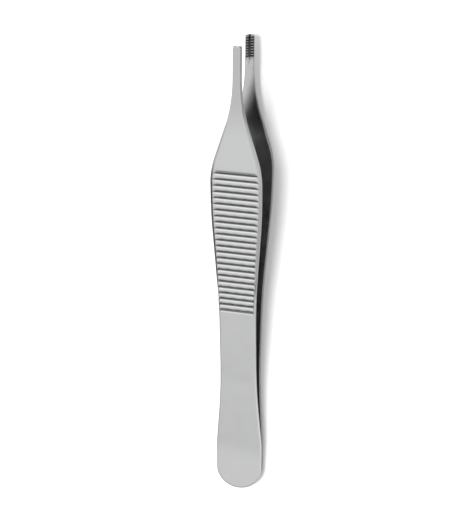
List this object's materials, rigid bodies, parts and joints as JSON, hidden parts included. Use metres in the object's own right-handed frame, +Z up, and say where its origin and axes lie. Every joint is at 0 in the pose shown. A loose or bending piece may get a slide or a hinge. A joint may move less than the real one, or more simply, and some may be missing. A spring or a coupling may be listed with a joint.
{
  "type": "thumb forceps",
  "caption": "Spring-steel tissue forceps: two leaves welded at the heel, ribbed grip, narrow jaws with two rows of fine slanted teeth.",
  "frame": {"origin": "bottom centre of the whole instrument as it lies on its rear leaf: middle of its width and length, on the table", "axes": "+Y from the heel towards the tips, +X across the leaves, +Z up from the table, with the front leaf on top"},
  "size_m": [0.0124, 0.1202, 0.0168],
  "materials": {
    "satin_steel": "satin, fine bead-blasted stainless steel"
  },
  "bodies": {
    "rear_leaf": {"rear_leaf": "satin_steel"},
    "front_leaf": {"front_leaf": "satin_steel"}
  },
  "joints": [
    {"name": "squeeze", "type": "hinge", "parent": "rear_leaf", "child": "front_leaf", "pos_m": [0, -0.04909, 0.00209], "axis": [-1, 0, 0], "range_deg": [0, 6.1], "stiffness_Nm_per_rad": 3.5}
  ]
}
